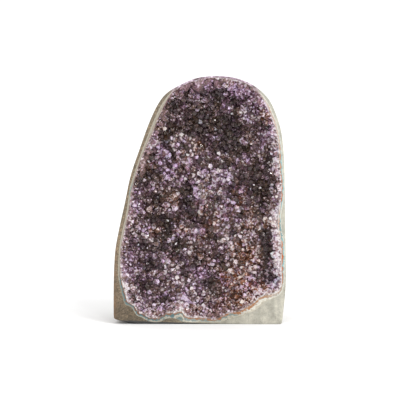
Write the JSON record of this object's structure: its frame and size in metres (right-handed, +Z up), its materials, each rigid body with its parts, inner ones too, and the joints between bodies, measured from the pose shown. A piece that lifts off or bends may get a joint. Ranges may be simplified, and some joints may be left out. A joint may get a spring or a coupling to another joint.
{
  "type": "amethyst geode",
  "caption": "Slab of an amethyst geode on a flat sawn base: ground basalt rim, banded chalcedony lining and a hollow full of fused amethyst crystals.",
  "frame": {"origin": "middle of the bounding box's bottom, on the surface that the sawn base stands on", "axes": "+Z up from the base, -Y out of the hollow of crystals, +X to the right as seen from the front"},
  "size_m": [0.1398, 0.082, 0.2005],
  "materials": {
    "basalt": "weathered green-brown basalt, ground matt on the front rim and sawn flat below",
    "agate": "ground chalcedony, banded cream, teal, rust and white",
    "amethyst": "glossy brown-purple quartz crystals with lilac tips and rust stains"
  },
  "bodies": {
    "root": {"basalt_rock": "basalt", "agate_lining": "agate", "amethyst_crust": "amethyst"}
  },
  "joints": []
}
